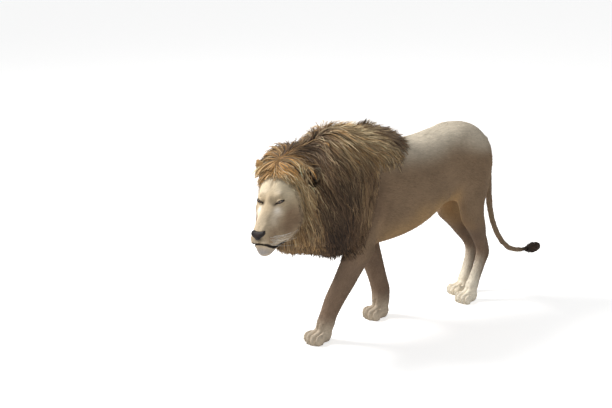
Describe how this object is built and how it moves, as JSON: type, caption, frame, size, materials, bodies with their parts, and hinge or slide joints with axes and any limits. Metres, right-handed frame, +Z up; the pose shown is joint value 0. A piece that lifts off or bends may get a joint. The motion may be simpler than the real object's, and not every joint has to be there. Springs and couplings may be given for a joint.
{
  "type": "lion",
  "caption": "Life-size walking male lion with a full dark mane, head turned to its left, standing on four flat soles.",
  "frame": {"origin": "middle of the figure's bounding box, at the floor under the four soles", "axes": "+X towards the lion's left side, +Y from its head to its tail, +Z up"},
  "size_m": [0.4624, 2.2296, 1.1077],
  "materials": {
    "coat": "short sandy fur",
    "mane": "long brown and black hair",
    "mane_dark": "long black hair",
    "nose_leather": "damp dark skin",
    "eye": "clear wet amber eye"
  },
  "bodies": {
    "root": {"head": "coat", "jaw": "coat", "neck": "coat", "chest": "coat", "loin": "coat", "rump": "coat", "ear_left": "coat", "ear_right": "coat", "elbow_left": "coat", "forearm_left": "coat", "forepaw_left": "coat", "thigh_left": "coat", "shank_left": "coat", "metatarsus_left": "coat", "hindpaw_left": "coat", "elbow_right": "coat", "forearm_right": "coat", "forepaw_right": "coat", "thigh_right": "coat", "shank_right": "coat", "metatarsus_right": "coat", "hindpaw_right": "coat", "tail_base": "coat", "tail_middle": "coat", "tail_tip": "coat", "mane": "mane", "tail_tuft": "mane_dark", "nose": "nose_leather", "eye_left": "eye", "eye_right": "eye"}
  },
  "joints": []
}
